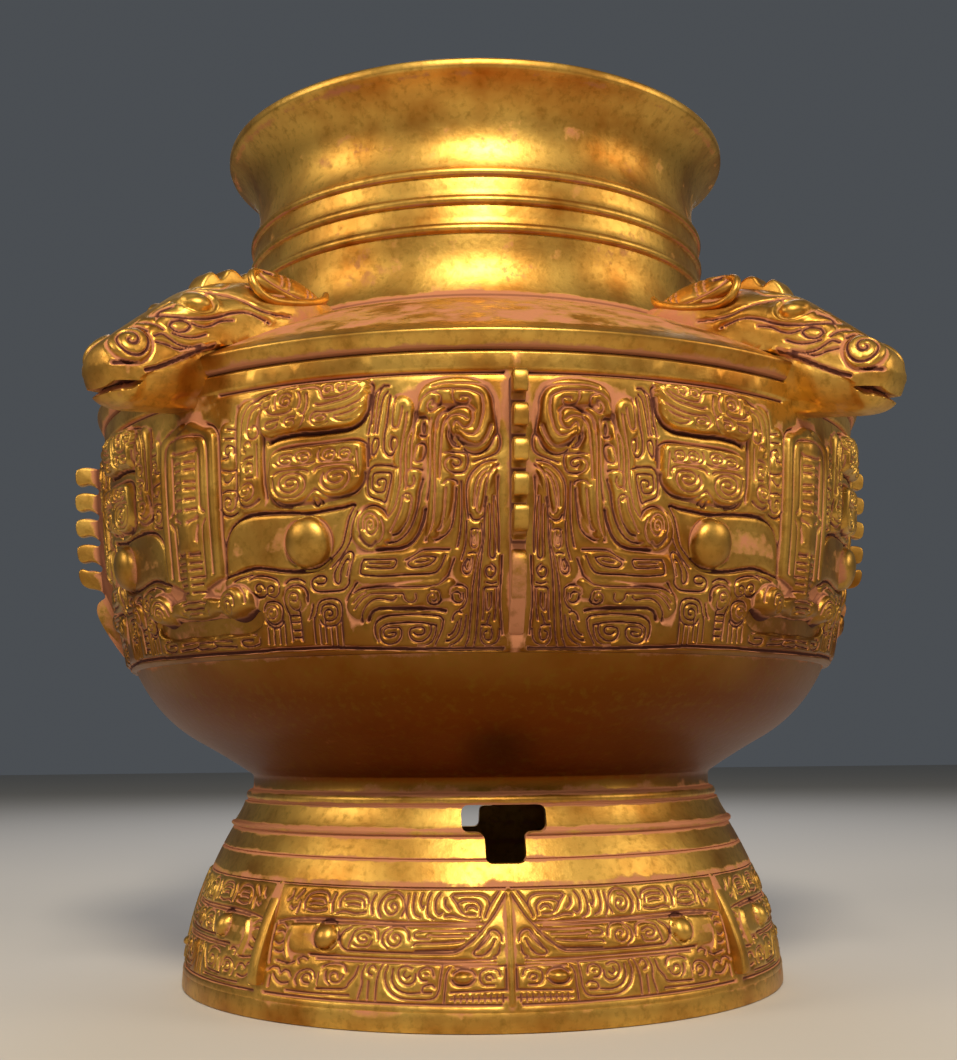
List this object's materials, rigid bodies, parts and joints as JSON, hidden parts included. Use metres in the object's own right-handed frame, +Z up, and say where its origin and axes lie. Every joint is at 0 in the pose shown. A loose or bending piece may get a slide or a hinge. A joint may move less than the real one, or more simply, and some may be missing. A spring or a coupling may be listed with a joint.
{
  "type": "bronze wine jar",
  "caption": "Wide-shouldered gilt bronze wine jar on a high hollow foot, with flared mouth, hooked flanges, horned animal heads on the shoulder and friezes of mask relief.",
  "frame": {"origin": "centre of the foot's ground ring, on the surface that the jar stands on", "axes": "+Z up along the vessel's axis; one hooked flange faces -Y, and the animal heads lie halfway between the flanges"},
  "size_m": [0.3554, 0.3554, 0.36],
  "materials": {
    "gilt_bronze": "worn satin gilding with reddish residue in the recesses"
  },
  "bodies": {
    "root": {"wine_jar": "gilt_bronze"}
  },
  "joints": []
}
